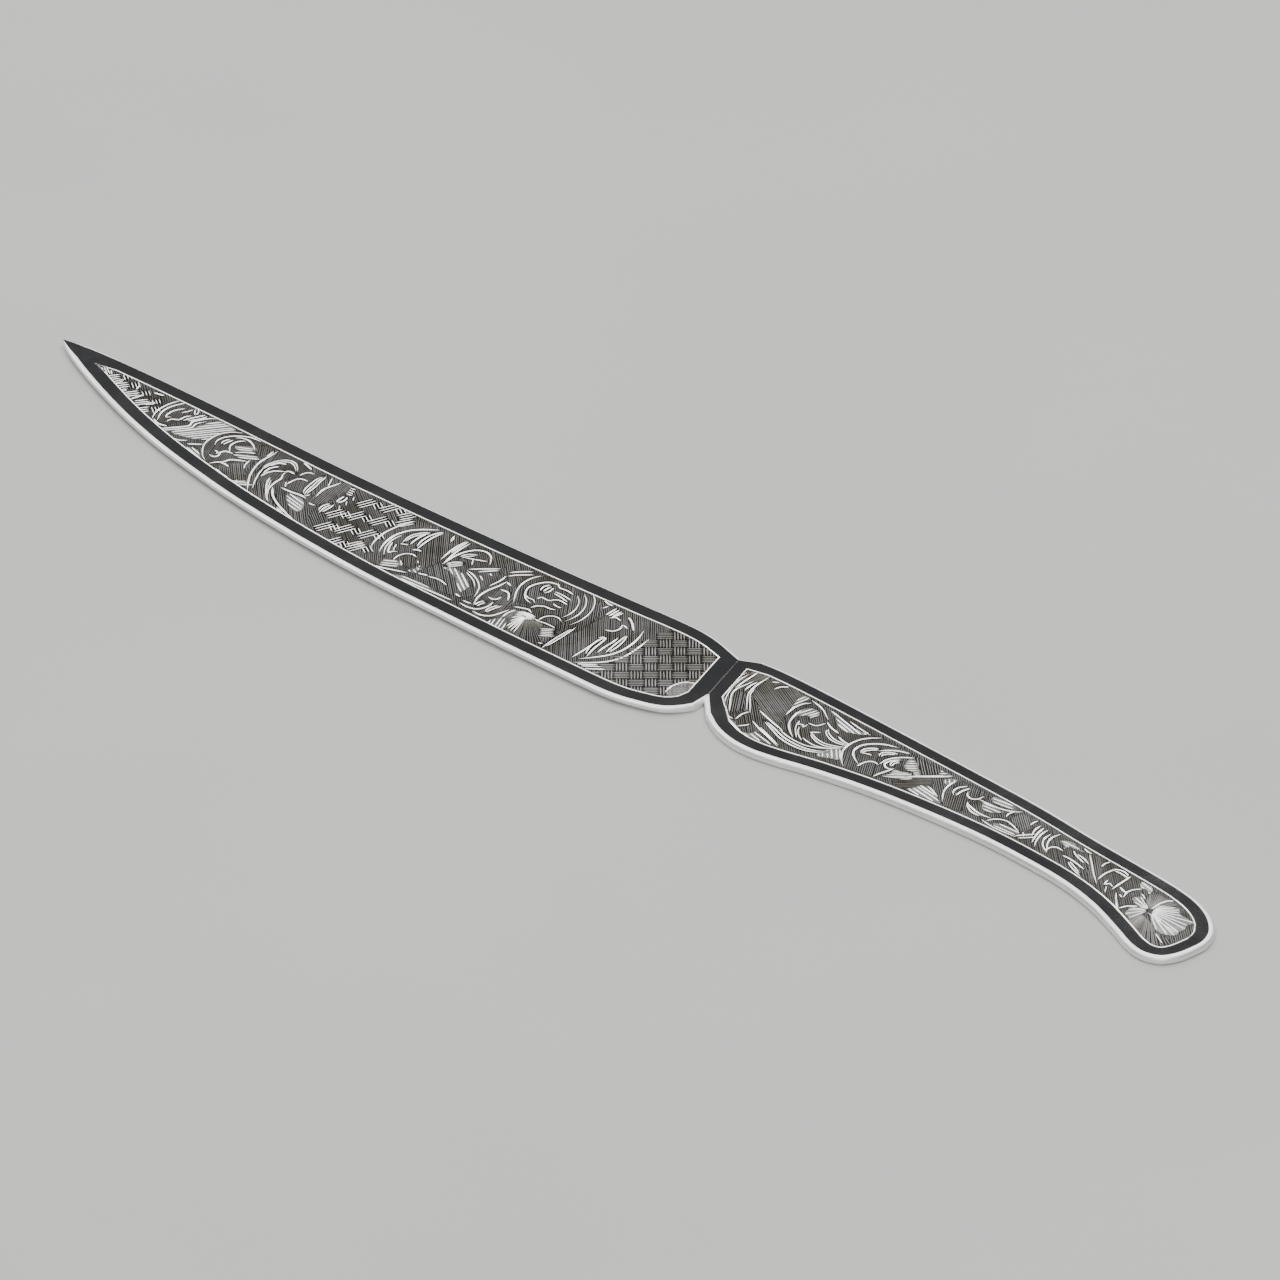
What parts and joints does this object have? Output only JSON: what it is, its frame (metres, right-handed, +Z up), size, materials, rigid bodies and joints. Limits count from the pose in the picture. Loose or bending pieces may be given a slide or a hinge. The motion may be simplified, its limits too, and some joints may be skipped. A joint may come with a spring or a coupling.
{
  "type": "cake knife",
  "caption": "Flat silver cake knife: pointed blade with a curved cutting edge, narrow notched neck and a teardrop handle, with engraved panels inside plain borders.",
  "frame": {"origin": "middle of the knife's box, on the flat lower face that it rests on", "axes": "+X from the tip towards the butt, +Y from the cutting edge towards the spine, +Z up through the plates"},
  "size_m": [0.3206, 0.035, 0.0017],
  "materials": {
    "blade_silver": "mirror-polished silver with bright-cut engraving",
    "handle_silver": "mirror-polished silver with bright-cut engraving",
    "solder": "silver solder, dressed and polished flush"
  },
  "bodies": {
    "root": {"blade": "blade_silver", "handle": "handle_silver", "neck_solder": "solder"}
  },
  "joints": []
}
